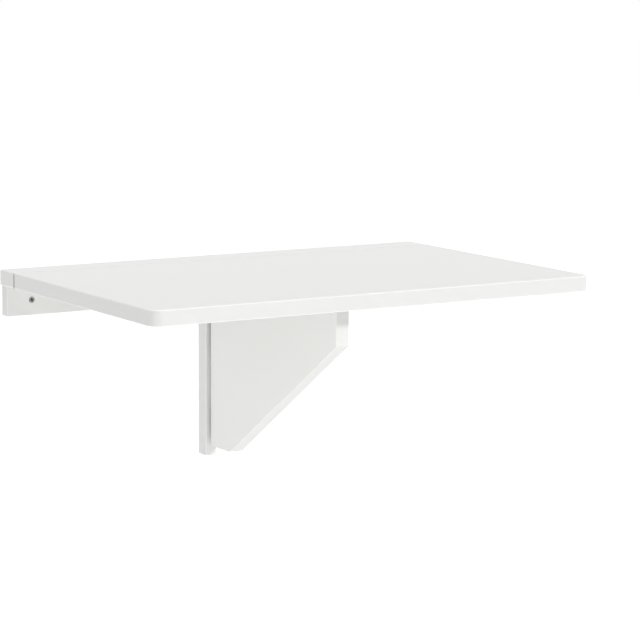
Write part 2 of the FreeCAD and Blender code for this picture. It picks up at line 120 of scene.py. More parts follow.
@dataclass
class Surface:
    """Points, faces and values per point. Without normals the mesh is smooth up to the crease angle."""

    points: Array
    faces: list[list[int]]
    normals: Array | None = None
    masks: dict[str, Array] = field(default_factory=dict)

    def joined(self, other: "Surface") -> "Surface":
        """Both surfaces as one, with the other's faces renumbered.

        Args:
            other: A surface with the same kinds of values per point.

        Returns:
            One surface with the points of both.
        """
        shift = len(self.points)
        faces = self.faces + [[i + shift for i in face] for face in other.faces]
        normals = None if self.normals is None else np.vstack([self.normals, other.normals])
        masks = {name: np.concatenate([self.masks[name], other.masks[name]]) for name in self.masks}
        return Surface(np.vstack([self.points, other.points]), faces, normals, masks)


def unit(vectors: Array) -> Array:
    """Each vector divided by its own length."""
    return vectors / np.linalg.norm(vectors, axis=-1, keepdims=True)


def grid_faces(rows: int, columns: int, first: int = 0) -> list[list[int]]:
    """Quads of a grid whose columns close into a ring.

    Args:
        rows: Number of rings.
        columns: Points in each ring.
        first: Index of the grid's first point.

    Returns:
        For each cell the points (row, column), (row, next), (row + 1, next), (row + 1, column).
    """
    here = np.arange(rows * columns).reshape(rows, columns) + first
    after = np.roll(here, -1, axis=1)
    return np.stack([here[:-1], after[:-1], after[1:], here[1:]], axis=-1).reshape(-1, 4).tolist()


def ring_cap(points: Array, rings: list[Array], up: bool) -> list[list[int]]:
    """Triangles of a flat face with an outer ring and holes.

    Args:
        points: All points, of which the face's own are read in u and v.
        rings: Indices of the outer ring and of each hole's ring.
        up: True if the face looks along +w.

    Returns:
        The triangles, wound so that they look that way.
    """
    order = np.concatenate(rings)
    loops = [[Vector((*points[i][:2], 0.0)) for i in ring] for ring in rings]
    triangles = order[np.array(tessellate_polygon(loops))]
    a, b, c = (points[triangles[:, k]][:, :2] for k in range(3))
    turn = np.cross(b - a, c - a)
    wrong = turn < 0 if up else turn > 0
    triangles[wrong] = triangles[wrong][:, ::-1]
    return triangles[np.abs(turn) > NO_AREA].tolist()


def rounded_ring(corners: Array, radii: Array, steps: int) -> tuple[Array, Array]:
    """Points of a stack of closed outlines whose corners are arcs.

    At a corner c with unit directions a and b to its neighbours and half the angle h between
    them, the arc's centre is c + unit(a + b) r / sin h. Its points turn at a steady rate from
    the tangent point on a to the one on b.

    Args:
        corners: Corner points, anticlockwise, shaped (outlines, corners, 2).
        radii: Arc radii, shaped (outlines, corners).
        steps: Straight pieces in each arc.

    Returns:
        The points and their outward unit normals, both shaped (outlines, points, 2).
    """
    a = unit(np.roll(corners, 1, axis=1) - corners)
    b = unit(np.roll(corners, -1, axis=1) - corners)
    half = np.arccos(np.clip((a * b).sum(-1), -1, 1)) / 2
    middle = unit(a + b)
    centre = corners + middle * (radii / np.sin(half))[..., None]
    reach = (radii / np.tan(half))[..., None]
    start = corners + a * reach - centre
    end = corners + b * reach - centre
    angle = (math.pi - 2 * half)[..., None, None]
    t = np.linspace(0, 1, steps + 1)[None, None, :, None]
    swing = np.sin((1 - t) * angle) * start[:, :, None] + np.sin(t * angle) * end[:, :, None]
    swing = swing / np.sin(angle)
    hollow = np.cross(-a, b) < 0
    outward = unit(swing) * np.where(hollow, -1.0, 1.0)[..., None, None]
    points = centre[:, :, None] + swing
    shape = (len(corners), -1, 2)
    return points.reshape(shape), outward.reshape(shape)


def inset_corners(corners: Array, insets: Array) -> Array:
    """Corners of an outline whose sides have moved inwards, each by its own distance.

    Each new corner is the point at the given distances from its two sides.

    Args:
        corners: Corner points, anticlockwise, shaped (corners, 2).
        insets: Distances, shaped (outlines, corners), for the side that follows each corner.

    Returns:
        The moved corners, shaped (outlines, corners, 2).
    """
    along = unit(np.roll(corners, -1, axis=0) - corners)
    inward = np.stack([-along[:, 1], along[:, 0]], axis=-1)
    sides = np.stack([np.roll(inward, 1, axis=0), inward], axis=1)
    moves = np.stack([np.roll(insets, 1, axis=1), insets], axis=-1)[..., None]
    return corners + np.linalg.solve(sides, moves)[..., 0]


def ringed(radius: Array, height: Array, columns: int) -> Array:
    """Points of rings about w, where the point at angle t is (r cos t, r sin t, w).

    Args:
        radius: The radii, shaped (rows, 1) or (rows, columns).
        height: Each ring's w, shaped (rows, 1).
        columns: Points in each ring.

    Returns:
        The points, ring after ring.
    """
    t = np.linspace(0, 2 * math.pi, columns, endpoint=False)
    level = np.broadcast_to(height, (len(height), columns))
    return np.stack([radius * np.cos(t), radius * np.sin(t), level], axis=-1).reshape(-1, 3)


# ---- meshes

def put(surface: Surface, axes: tuple[int, int, int], origin: Array, flip: float = 1.0) -> Surface:
    """Moves a surface from its own u, v, w to the frame's X, Y, Z.

    Args:
        surface: The surface in its own axes.
        axes: The frame's axis that each of u, v and w runs along.
        origin: The place of its origin in the frame.
        flip: -1.0 if w runs against its frame axis.

    Returns:
        The moved surface, with its faces turned back outwards where the axes mirror it.
    """
    turn = np.zeros((3, 3))
    turn[list(axes), [0, 1, 2]] = (1.0, 1.0, flip)
    mirrored = np.linalg.det(turn) < 0
    faces = [face[::-1] for face in surface.faces] if mirrored else surface.faces
    normals = None if surface.normals is None else surface.normals @ turn.T
    return Surface(surface.points @ turn.T + origin, faces, normals, surface.masks)


@dataclass
class Piece:
    """A mesh that rides on a body in place of a node."""

    node: str
    body: Body
    slot: Slot
    suffix: ClassVar[str]

    def surface(self) -> Surface:
        """The piece's shape, in the frame."""
        raise NotImplementedError

    def build(self, finishes: dict[Slot, Material]) -> None:
        """Makes the mesh and its object, and dresses it.

        Args:
            finishes: The materials by slot.
        """
        name, surface = self.node + self.suffix, self.surface()
        mesh = bpy.data.meshes.new(name)
        mesh.from_pydata(surface.points.tolist(), [], surface.faces)
        mesh.validate()
        mesh.shade_smooth()
        if surface.normals is not None:
            mesh.normals_split_custom_set_from_vertices(surface.normals.tolist())
        else:
            mesh.set_sharp_from_angle(angle=math.radians(CREASE))
        for mask, values in surface.masks.items():
            attribute = mesh.attributes.new(mask, "FLOAT", "POINT")
            attribute.data.foreach_set("value", values.astype(np.float32))
        mesh.materials.append(finishes[self.slot])
        piece = bpy.data.objects.new(name, mesh)
        bpy.context.scene.collection.objects.link(piece)
        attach(piece, self.body.value)
        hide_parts(self.node)
        LOG.info("%s: %d faces on %s", name, len(mesh.polygons), self.body.value)


# ---- shader helpers

@dataclass
class Sheet:
    """A node tree that is being filled."""

    tree: NodeTree

    def __post_init__(self) -> None:
        """Starts from an empty tree."""
        self.tree.nodes.clear()

    def add(self, kind: str, inputs: dict[str | int, Value] | None = None, **settings: object) -> Node:
        """Adds a node.

        Args:
            kind: The node's type.
            inputs: For each input's name or number, a constant or the output that feeds it.
            settings: The node's own options.

        Returns:
            The node.
        """
        node = self.tree.nodes.new(kind)
        for option, value in settings.items():
            setattr(node, option, value)
        for socket, value in (inputs or {}).items():
            if isinstance(value, NodeSocket):
                self.tree.links.new(value, node.inputs[socket])
            else:
                node.inputs[socket].default_value = value
        return node

    def math(self, operation: str, first: Value, second: Value) -> NodeSocket:
        """The result of one sum on two values."""
        return self.add("ShaderNodeMath", {0: first, 1: second}, operation=operation).outputs[0]

    def plus(self, base: Value, extra: Value, share: Value) -> NodeSocket:
        """A value plus a share of another."""
        return self.math("ADD", base, self.math("MULTIPLY", extra, share))

    def mean(self, first: Value, second: Value, share: float) -> NodeSocket:
        """A mean of two values, of which the first has the given share."""
        return self.plus(self.math("MULTIPLY", first, share), second, 1.0 - share)

    def ramp(self, value: Value, low: float, high: float, start: float = 0.0,
             end: float = 1.0) -> NodeSocket:
        """A value that runs from low to high while the given one runs from start to end."""
        inputs = {"Value": value, "From Min": start, "From Max": end, "To Min": low, "To Max": high}
        return self.add("ShaderNodeMapRange", inputs).outputs["Result"]

    def blend(self, share: Value, first: Value, second: Value) -> NodeSocket:
        """A colour between two colours."""
        return self.add("ShaderNodeMix", {0: share, 6: first, 7: second}, data_type="RGBA").outputs[2]

    def mask(self, name: str) -> NodeSocket:
        """A value per point of the mesh."""
        return self.add("ShaderNodeAttribute", attribute_name=name).outputs["Fac"]

    def place(self, stretch: Triple = UNSTRETCHED) -> NodeSocket:
        """Object coordinates, stretched along the axes."""
        spot = self.add("ShaderNodeTexCoord").outputs["Object"]
        return self.add("ShaderNodeMapping", {"Vector": spot, "Scale": stretch}).outputs["Vector"]

    def noise(self, vector: Value, scale: Value, detail: float, roughness: float) -> NodeSocket:
        """A noise value about 0.5."""
        inputs = {"Vector": vector, "Scale": scale, "Detail": detail, "Roughness": roughness}
        return self.add("ShaderNodeTexNoise", inputs).outputs["Fac"]


def new_group(name: str, scales: dict[str, float], outputs: tuple[str, ...]) -> Sheet:
    """Starts a shader node group that turns a place, "Vector", into values.

    Args:
        name: The group's name.
        scales: The group's other inputs and their defaults.
        outputs: The names of its values.

    Returns:
        The group's sheet.
    """
    tree = bpy.data.node_groups.new(name, "ShaderNodeTree")
    tree.interface.new_socket(name="Vector", in_out="INPUT", socket_type="NodeSocketVector")
    for label, default in scales.items():
        socket = tree.interface.new_socket(name=label, in_out="INPUT", socket_type="NodeSocketFloat")
        socket.default_value = default
    for label in outputs:
        tree.interface.new_socket(name=label, in_out="OUTPUT", socket_type="NodeSocketFloat")
    return Sheet(tree)


@cache
def mottle_group() -> NodeTree:
    """Broad clouding and fine pebbling of a film on a surface, used by every finish.

    Cloud is slow noise. Pebble is a fine noise plus a share of one three times as fine.

    Returns:
        The group, built once, with Vector and both scales as inputs.
    """
    finer, fine_share = 3.0, 0.35
    sheet = new_group("film_mottle", {"Cloud Scale": 8.0, "Pebble Scale": 600.0}, ("Cloud", "Pebble"))
    spot, cloud_scale, pebble_scale = sheet.add("NodeGroupInput").outputs[:3]
    cloud = sheet.noise(spot, cloud_scale, detail=3.0, roughness=0.55)
    coarse = sheet.noise(spot, pebble_scale, detail=1.0, roughness=0.4)
    fine = sheet.noise(spot, sheet.math("MULTIPLY", pebble_scale, finer), detail=1.0, roughness=0.4)
    sheet.add("NodeGroupOutput", {"Cloud": cloud, "Pebble": sheet.plus(coarse, fine, fine_share)})
    return sheet.tree


@cache
def streak_group() -> NodeTree:
    """Long fine lines along one direction, as rolled steel and wood have.

    The stretched coordinates make noise that is long one way and thin the other two.

    Returns:
        The group, built once, with Vector and Scale as inputs.
    """
    wider, thin_share = 0.23, 0.6
    sheet = new_group("long_streaks", {"Scale": 300.0}, ("Streak",))
    spot, scale = sheet.add("NodeGroupInput").outputs[:2]
    thin = sheet.noise(spot, scale, detail=4.0, roughness=0.65)
    wide = sheet.noise(spot, sheet.math("MULTIPLY", scale, wider), detail=2.0, roughness=0.5)
    sheet.add("NodeGroupOutput", {"Streak": sheet.mean(thin, wide, thin_share)})
    return sheet.tree


def new_material(name: str) -> tuple[Material, Sheet]:
    """An empty material and the sheet of its nodes.

    Args:
        name: The material's name.

    Returns:
        The material and its sheet.
    """
    material = bpy.data.materials.new(name)
    material.use_nodes = True
    return material, Sheet(material.node_tree)


# ---- finishes

@dataclass(frozen=True, kw_only=True)
class Finish:
    """What all finishes have: a mottled film, lines along one direction and a fine relief."""

    name: str
    cloud_scale: float
    pebble_scale: float
    line_scale: float
    stretch: Triple
    bump_strength: float
    bump_distance: float
    metallic: float = 0.0
    refraction: float = 1.5

    def textures(self, sheet: Sheet) -> ThreeValues:
        """Places the shared groups with the finish's own scales.

        Args:
            sheet: The material's nodes.

        Returns:
            The clouding, the pebbling and the lines.
        """
        film = sheet.add("ShaderNodeGroup", {
            "Vector": sheet.place(), "Cloud Scale": self.cloud_scale, "Pebble Scale": self.pebble_scale,
        }, node_tree=mottle_group())
        lines = sheet.add("ShaderNodeGroup", {
            "Vector": sheet.place(self.stretch), "Scale": self.line_scale,
        }, node_tree=streak_group())
        return film.outputs["Cloud"], film.outputs["Pebble"], lines.outputs["Streak"]

    def layers(self, sheet: Sheet) -> ThreeValues:
        """The finish's own colour, roughness and height."""
        raise NotImplementedError

    def material(self) -> Material:
        """Builds the material.

        Returns:
            One plain shader with the finish's layers and its constants.
        """
        material, sheet = new_material(self.name)
        colour, roughness, height = self.layers(sheet)
        bump = sheet.add("ShaderNodeBump", {
            "Strength": self.bump_strength, "Distance": self.bump_distance, "Height": height})
        shader = sheet.add("ShaderNodeBsdfPrincipled", {
            "Base Color": colour, "Roughness": roughness, "Metallic": self.metallic,
            "IOR": self.refraction, "Normal": bump.outputs["Normal"]})
        sheet.add("ShaderNodeOutputMaterial", {"Surface": shader.outputs["BSDF"]})
        return material


@dataclass(frozen=True, kw_only=True)
class LacquerFinish(Finish):
    """Satin white lacquer on board: a painted highlight on the arrises, duller and fibrous on the cut
    sides.

    It carries painted shade in the slit, from slit_shade_start down to slit_shade_full above the wall
    screws.
    """

    name: str = "white_lacquer_satin"
    light: Colour = (0.842, 0.843, 0.826, 1.0)
    shade: Colour = (0.822, 0.822, 0.804, 1.0)
    cut_side: Colour = (0.757, 0.758, 0.742, 1.0)
    # Painted highlight: a paler colour on the arrises, where the rounded edge would catch the light.
    arris: Colour = (0.880, 0.878, 0.858, 1.0)
    # Painted shade: a grey that darkens the inside of the slit between the strip and the leaf.
    slit: Colour = (0.500, 0.494, 0.484, 1.0)
    slit_shade_start: float = 37.0 * MM
    slit_shade_full: float = 33.5 * MM
    smooth: float = 0.29
    rough: float = 0.36
    side_roughness: float = 0.05
    cloud_scale: float = 7.0
    pebble_scale: float = 420.0
    line_scale: float = 260.0
    stretch: Triple = (0.12, 0.12, 1.0)
    bump_strength: float = 0.35
    bump_distance: float = 0.03 * MM

    def layers(self, sheet: Sheet) -> ThreeValues:
        """Blends the film, the cut sides, a painted highlight on the arrises and painted shade in the slit
        by the board's masks.

        Args:
            sheet: The material's nodes.

        Returns:
            The colour, the roughness and the height, with lines on the cut sides alone.
        """
        cloud, pebble, fibres = self.textures(sheet)
        side = sheet.mask(SIDE_MASK)
        height = sheet.add("ShaderNodeSeparateXYZ", {0: sheet.place()}).outputs["Z"]
        slit_shade_share = sheet.ramp(height, 0.0, 1.0, self.slit_shade_start, self.slit_shade_full)
        face = sheet.blend(cloud, self.shade, self.light)
        cut = sheet.blend(side, face, self.cut_side)
        # Painted highlight on the arrises, by the arris mask.
        highlighted = sheet.blend(sheet.mask(ARRIS_HIGHLIGHT_MASK), cut, self.arris)
        # Painted shade in the slit, deepening downwards from slit_shade_start to slit_shade_full.
        colour = sheet.blend(sheet.math("MULTIPLY", sheet.mask(SLIT_SHADE_MASK), slit_shade_share), highlighted, self.slit)
        roughness = sheet.plus(sheet.ramp(cloud, self.smooth, self.rough), side, self.side_roughness)
        return colour, roughness, sheet.plus(pebble, fibres, side)


@dataclass(frozen=True, kw_only=True)
class MetalFinish(Finish):
    """Plated steel: fine drawn lines, a clouded film and painted shade in a screw's recess."""

    bright: Colour
    dull: Colour
    # Painted shade: a near-black colour in a screw's cross recess.
    recess_shade: Colour = (0.02, 0.02, 0.02, 1.0)
    smooth: float = 0.28
    rough: float = 0.44
    cloud_share: float = 0.6
    pebble_share: float = 0.3
    cloud_scale: float = 90.0
    pebble_scale: float = 3000.0
    line_scale: float = 1600.0
    stretch: Triple = UNSTRETCHED
    bump_strength: float = 0.4
    bump_distance: float = 0.012 * MM
    metallic: float = 1.0

    def layers(self, sheet: Sheet) -> ThreeValues:
        """Blends the dull and the bright tone, and paints shade into the recess by its mask.

        Args:
            sheet: The material's nodes.

        Returns:
            The colour, the roughness and the height.
        """
        cloud, pebble, lines = self.textures(sheet)
        tone = sheet.mean(cloud, lines, self.cloud_share)
        steel = sheet.blend(tone, self.dull, self.bright)
        # Painted shade in the recess, by the recess mask.
        colour = sheet.blend(sheet.mask(RECESS_SHADE_MASK), steel, self.recess_shade)
        roughness = sheet.ramp(tone, self.rough, self.smooth)
        return colour, roughness, sheet.plus(lines, pebble, self.pebble_share)


@dataclass(frozen=True, kw_only=True)
class BeechFinish(Finish):
    """Raw beech: pale reddish wood with fine darker flecks along Z, its grain."""

    name: str = "beech_raw"
    pale: Colour = (0.66, 0.46, 0.28, 1.0)
    dark: Colour = (0.45, 0.27, 0.14, 1.0)
    smooth: float = 0.55
    rough: float = 0.75
    grain_share: float = 0.7
    cloud_scale: float = 60.0
    pebble_scale: float = 2500.0
    line_scale: float = 900.0
    stretch: Triple = (1.0, 1.0, 0.08)
    bump_strength: float = 0.6
    bump_distance: float = 0.04 * MM

    def layers(self, sheet: Sheet) -> ThreeValues:
        """Blends the dark and the pale wood by the grain and the clouding.

        Args:
            sheet: The material's nodes.

        Returns:
            The colour, the roughness and the grain as height.
        """
        cloud, pebble, grain = self.textures(sheet)
        colour = sheet.blend(sheet.mean(grain, cloud, self.grain_share), self.dark, self.pale)
        return colour, sheet.ramp(pebble, self.smooth, self.rough), grain


FINISHES = {
    Slot.LACQUER: LacquerFinish(),
    Slot.HINGE: MetalFinish(
        name="nickel_plated_steel", bright=(0.72, 0.70, 0.66, 1.0), dull=(0.55, 0.53, 0.49, 1.0),
        stretch=(1.0, 1.0, 0.06)),
    Slot.NICKEL_SCREW: MetalFinish(
        name="nickel_plated_screw", bright=(0.66, 0.65, 0.62, 1.0), dull=(0.48, 0.47, 0.44, 1.0)),
    Slot.ZINC_SCREW: MetalFinish(
        name="zinc_plated_screw", bright=(0.39, 0.39, 0.38, 1.0), dull=(0.26, 0.26, 0.25, 1.0)),
    Slot.BEECH: BeechFinish(),
}


# ---- boards

@dataclass(frozen=True)
class ScrewHole:
    """A countersunk hole through a board, with its wide end on the low face."""

    centre: tuple[float, float]
    sink_radius: float
    bore_radius: float
    rim_radius: float = 0.35 * MM
    exit_round: float = 0.05 * MM
    columns: int = 40
    rim_steps: int = 5

    def surface(self, low: float, high: float) -> Surface:
        """The hole's wall as a surface of revolution whose faces look at its axis.

        Its profile of (radius, w) starts on the low face with an eighth of a round, goes on as
        a cone at 45 degrees and ends with the straight bore, whose far edge is broken. Each
        normal is the profile's direction (r, w) turned to (-w, r), but for both ends, which
        lie in the faces, and the bore's far end.

        Args:
            low: Where the low face lies.
            high: Where the high face lies.

        Returns:
            The wall, with its first ring on the low face and its last on the high face.
        """
        a = np.linspace(0, math.pi / 4, self.rim_steps + 1)
        rim_r = self.sink_radius + self.rim_radius * (math.sin(math.pi / 4) - np.sin(a))
        rim_w = self.rim_radius * (1 - np.cos(a))
        depth = rim_w[-1] + self.sink_radius - self.bore_radius
        bore, through = self.bore_radius, high - low
        radius = np.concatenate([rim_r, [bore, bore, bore + self.exit_round]])
        down = np.concatenate([rim_w, [depth, through - self.exit_round, through]])
        profile = np.stack([radius, low + down], axis=-1)
        points = ringed(profile[:, :1], profile[:, 1:], self.columns)
        points[:, :2] += self.centre
        slope = np.gradient(profile, axis=0)
        across = unit(np.stack([-slope[:, 1], slope[:, 0]], axis=-1))
        across[[0, -2, -1]] = (0.0, -1.0), (-1.0, 0.0), (0.0, 1.0)
        normals = ringed(across[:, :1], across[:, 1:], self.columns)
        faces = [face[::-1] for face in grid_faces(len(profile), self.columns)]
        masks = dict.fromkeys((ARRIS_HIGHLIGHT_MASK, SIDE_MASK, SLIT_SHADE_MASK), np.zeros(len(points)))
        return Surface(points, faces, normals, masks)


@dataclass
class Board(Piece):
    """A board cut to an outline, with rounded corners, eased arrises and screw holes.

    Sides are numbered like the outline's corners, each with the corner that it follows.
    """

    suffix: ClassVar[str] = "_board"

    lie: Lie
    corner_radii: list[float]
    low_arris: list[float]
    high_arris: list[float]
    holes: list[ScrewHole] = field(default_factory=list)
    outline: list[tuple[float, float]] | None = None
    slit_sides: list[float] | None = None
    corner_steps: int = 10
    arris_steps: int = 6
    least_radius: float = 0.02 * MM

    def corners(self) -> Array:
        """The outline's corners in u and v, anticlockwise: its own, or those of the node's box."""
        (u0, v0, _), (u1, v1, _) = (np.array(p)[list(self.lie.value)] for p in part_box(self.node))
        return np.array(self.outline or [(u0, v0), (u1, v0), (u1, v1), (u0, v1)])

    def edge_rows(self, corners: Array, low: float, high: float) -> Surface:
        """The rounded side of the board, from the rim of the low face to that of the high face.

        At the angle a, from -90 degrees on the low face over 0 on the side to 90 on the high
        face, an arris of radius r lies r (1 - cos a) inside the outline and r (1 - sin |a|)
        from its face, and its normal is outward cos a + w sin a. Round a corner, the arris and
        the slit's mask run steadily from one side's value to the next side's.

        Args:
            corners: The outline's corners.
            low: Where the low face lies.
            high: Where the high face lies.

        Returns:
            The side as a grid with one row for each angle.
        """
        quarter = np.linspace(0, math.pi / 2, self.arris_steps + 1)
        angle = np.concatenate([-quarter[::-1], quarter])
        lower = (np.arange(len(angle)) <= self.arris_steps)[:, None]
        arris = np.where(lower, self.low_arris, self.high_arris)
        insets = arris * (1 - np.cos(angle))[:, None]
        before, after = np.roll(corners, 1, axis=0), np.roll(corners, -1, axis=0)
        hollow = np.cross(corners - before, after - corners) < 0
        mean_inset = (insets + np.roll(insets, 1, axis=1)) / 2
        radii = np.maximum(self.corner_radii - np.where(hollow, -1, 1) * mean_inset, self.least_radius)
        ring, outward = rounded_ring(inset_corners(corners, insets), radii, self.corner_steps)

        t = np.linspace(0, 1, self.corner_steps + 1)
        along = np.roll(arris, 1, axis=1)[..., None] * (1 - t) + arris[..., None] * t
        rise = along.reshape(len(angle), -1) * (1 - np.sin(np.abs(angle)))[:, None]
        height = np.where(lower, low + rise, high - rise)
        points = np.concatenate([ring, height[..., None]], axis=-1)
        cosine, sine = (np.broadcast_to(f(angle)[:, None], height.shape) for f in (np.cos, np.sin))
        normals = np.concatenate([outward * cosine[..., None], sine[..., None]], axis=-1)

        slit = np.array(self.slit_sides or [0.0] * len(corners))[:, None]
        slit = (np.roll(slit, 1, axis=0) * (1 - t) + slit * t).ravel()
        side = cosine ** SIDE_POWER
        # The arris mask peaks halfway round each arris and paints a highlight there; the slit mask paints
        # shade on the slit's sides.
        masks = {ARRIS_HIGHLIGHT_MASK: np.abs(2 * sine * cosine).ravel(), SIDE_MASK: side.ravel(),
                 SLIT_SHADE_MASK: (side * slit).ravel()}
        return Surface(points.reshape(-1, 3), grid_faces(*height.shape), normals.reshape(-1, 3), masks)

    def surface(self) -> Surface:
        """The whole board: its rounded side, two flat faces and the walls of its holes.

        Returns:
            The board in the frame.
        """
        corners = self.corners()
        low, high = (p[self.lie.value[2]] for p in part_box(self.node))
        whole = self.edge_rows(corners, low, high)
        columns = len(corners) * (self.corner_steps + 1)
        low_rings = [np.arange(columns)]
        high_rings = [np.arange(len(whole.points) - columns, len(whole.points))]
        for hole in self.holes:
            wall = hole.surface(low, high)
            rim = np.arange(hole.columns) + len(whole.points)
            low_rings.append(rim)
            high_rings.append(rim + len(wall.points) - hole.columns)
            whole = whole.joined(wall)
        whole.faces += ring_cap(whole.points, low_rings, up=False)
        whole.faces += ring_cap(whole.points, high_rings, up=True)
        return put(whole, self.lie.value, np.zeros(3))


# ---- screws

@dataclass
class ScrewRow(Piece):
    """A row of countersunk screws with a cross recess and a rolled thread, read from a node's box.

    Radii and the recess are shares of the head's radius, the core and the point's length are
    shares of the crest's, and the tip is a share of the core's.
    """

    suffix: ClassVar[str] = "_threaded"

    shaft: int
    row: int
    count: int
    pitch: float
    head_side: HeadSide = HeadSide.LOW
    shank_ratio: float = 0.5
    thread_length: float | None = None
    columns: int = 28
    rows_per_turn: int = 8
    decimals: int = 7
    turn: float = 20.0

    land: float = 0.25 * MM
    edge_round: float = 0.08 * MM
    neck_length: float = 0.6 * MM
    lead_in: float = 0.3 * MM
    tip_length: float = 0.1 * MM
    crest_ratio: float = 0.5
    core_ratio: float = 0.68
    point_ratio: float = 2.6
    tip_ratio: float = 0.12
    end_ratio: float = 0.08
    ridge_power: float = 1.5
    taper_power: float = 0.7

    recess: tuple[Triple, ...] = (
        (0.0, 0.62, 0.160), (0.04, 0.59, 0.140), (0.30, 0.40, 0.115), (0.52, 0.20, 0.085))
    recess_rounds: Triple = (0.6, 0.6, 0.45)
    recess_steps: int = 3

    def across(self) -> list[int]:
        """The two axes across the shaft."""
        return [axis for axis in range(3) if axis != self.shaft]

    def sizes(self) -> tuple[float, float]:
        """The head's radius and the whole length, from the node's box."""
        size = [high - low for low, high in zip(*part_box(self.node))]
        return size[3 - self.shaft - self.row] / 2, size[self.shaft]

    def places(self) -> Array:
        """The middle of each head's top.

        Returns:
            The points, evenly spaced along the row.
        """
        low, high = (np.array(p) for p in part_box(self.node))
        head = self.sizes()[0]
        spots = np.tile((low + high) / 2, (self.count, 1))
        spots[:, self.shaft] = (low if self.head_side is HeadSide.LOW else high)[self.shaft]
        if self.count > 1:
            spots[:, self.row] = np.linspace(low[self.row] + head, high[self.row] - head, self.count)
        return spots

    def holes(self, bore: float) -> list[ScrewHole]:
        """A countersunk hole of the given bore for each screw."""
        return [ScrewHole(tuple(spot[self.across()]), self.sizes()[0], bore) for spot in self.places()]

    def shaft_surface(self) -> Surface:
        """Head, neck, shank, thread and point below the top, as a grid of depth and angle.

        The core's radius follows the profile. The thread adds a ridge whose height falls off
        from the crest as (1 - |2 f - 1|) to a power, where f is the depth plus the angle's
        share of one pitch, over the pitch, less its whole part. It fades in over one turn and
        out along the point.

        Returns:
            The surface from the head's rim to the point, which is closed.
        """
        head, length = self.sizes()
        crest = head * self.crest_ratio
        core = crest * self.core_ratio
        shank = head * self.shank_ratio
        neck = head - shank + self.land
        start = length - (self.thread_length or length - neck - self.pitch)
        point = self.point_ratio * crest
        profile = np.array([
            (0.0, head - self.edge_round), (self.edge_round, head), (self.land, head), (neck, shank),
            (start - self.lead_in, shank), (start, core), (length - point, core),
            (length - self.tip_length, core * self.tip_ratio), (length, core * self.end_ratio)])
        turns = np.arange(0, length - start, self.pitch / self.rows_per_turn)
        depth = np.concatenate([profile[:4, 0], [neck + self.neck_length], start + turns, [length]])
        depth = np.unique(np.round(depth, self.decimals))
        radius = np.interp(depth, profile[:, 0], profile[:, 1])
        fade = np.clip((depth - start) / self.pitch, 0, 1)
        taper = np.clip((length - depth) / point, 0, 1)
        angle = np.linspace(0, 2 * math.pi, self.columns, endpoint=False)
        share = (depth[:, None] / self.pitch + angle / (2 * math.pi)) % 1.0
        ridge = (1 - np.abs(2 * share - 1)) ** self.ridge_power * (crest - core)
        ridge = ridge * (fade * taper ** self.taper_power)[:, None]
        around = np.minimum(radius[:, None] + ridge, np.maximum(radius, crest)[:, None])
        points = ringed(around, -depth[:, None], self.columns)
        faces = [face[::-1] for face in grid_faces(len(depth), self.columns)]
        faces.append(list(range(len(points) - 1, len(points) - self.columns - 1, -1)))
        return Surface(points, faces)

    def recess_rings(self) -> Array:
        """The cross recess as rings of one outline that shrinks with depth.

        Each ring is a cross whose arms reach out by the given reach and half width, with both
        corners of the tip and the one between two arms rounded by shares of the half width.

        Returns:
            The rings' points, shaped (rings, points, 3).
        """
        depth, reach, half = np.array(self.recess).T[..., None] * self.sizes()[0]
        arm = [np.stack([u, v], axis=-1) for u, v in ((reach, -half), (reach, half), (half, half))]
        quarter = [np.array([[math.cos(a), math.sin(a)], [-math.sin(a), math.cos(a)]])
                   for a in np.arange(4) * math.pi / 2]
        corners = np.concatenate([np.concatenate(arm, axis=1) @ turn for turn in quarter], axis=1)
        radii = np.tile(half * self.recess_rounds, len(quarter))
        ring, _ = rounded_ring(corners, radii, self.recess_steps)
        heights = np.broadcast_to(-depth[..., None], (*ring.shape[:2], 1))
        return np.concatenate([ring, heights], axis=-1)

    def one(self) -> Surface:
        """One screw, upright.

        Returns:
            The screw with its head's top at w = 0 and its point towards -w.
        """
        shaft, rings = self.shaft_surface(), self.recess_rings()
        first, count = len(shaft.points), rings.shape[1]
        points = np.vstack([shaft.points, rings.reshape(-1, 3)])
        rim, mouth = np.arange(self.columns), np.arange(first, first + count)
        bottom = np.arange(len(points) - count, len(points))
        faces = shaft.faces + [face[::-1] for face in grid_faces(len(rings), count, first)]
        faces += ring_cap(points, [bottom], up=True)
        faces += ring_cap(points, [rim, mouth], up=True)
        # Marks the recess points, which carry painted shade in the metal finishes.
        recess = np.arange(len(points)) >= first + count
        return Surface(points, faces, masks={RECESS_SHADE_MASK: recess})

    def surface(self) -> Surface:
        """The row of screws, each turned a little further than the last.

        Returns:
            All the screws as one surface.
        """
        single = self.one()
        screws = []
        for i, spot in enumerate(self.places()):
            a = math.radians(self.turn * (2 * i + 1))
            spin = np.array([[math.cos(a), -math.sin(a), 0], [math.sin(a), math.cos(a), 0], [0, 0, 1]])
            spun = Surface(single.points @ spin.T, single.faces, masks=single.masks)
            screws.append(put(spun, (*self.across(), self.shaft), spot, flip=self.head_side.value))
        return reduce(Surface.joined, screws)


# ---- sub-assemblies

class SubAssembly:
    """Pieces that belong together."""

    def pieces(self) -> list[Piece]:
        """The pieces, in building order."""
        raise NotImplementedError

    def build(self, finishes: dict[Slot, Material]) -> None:
        """Builds and dresses every piece."""
        for piece in self.pieces():
            piece.build(finishes)


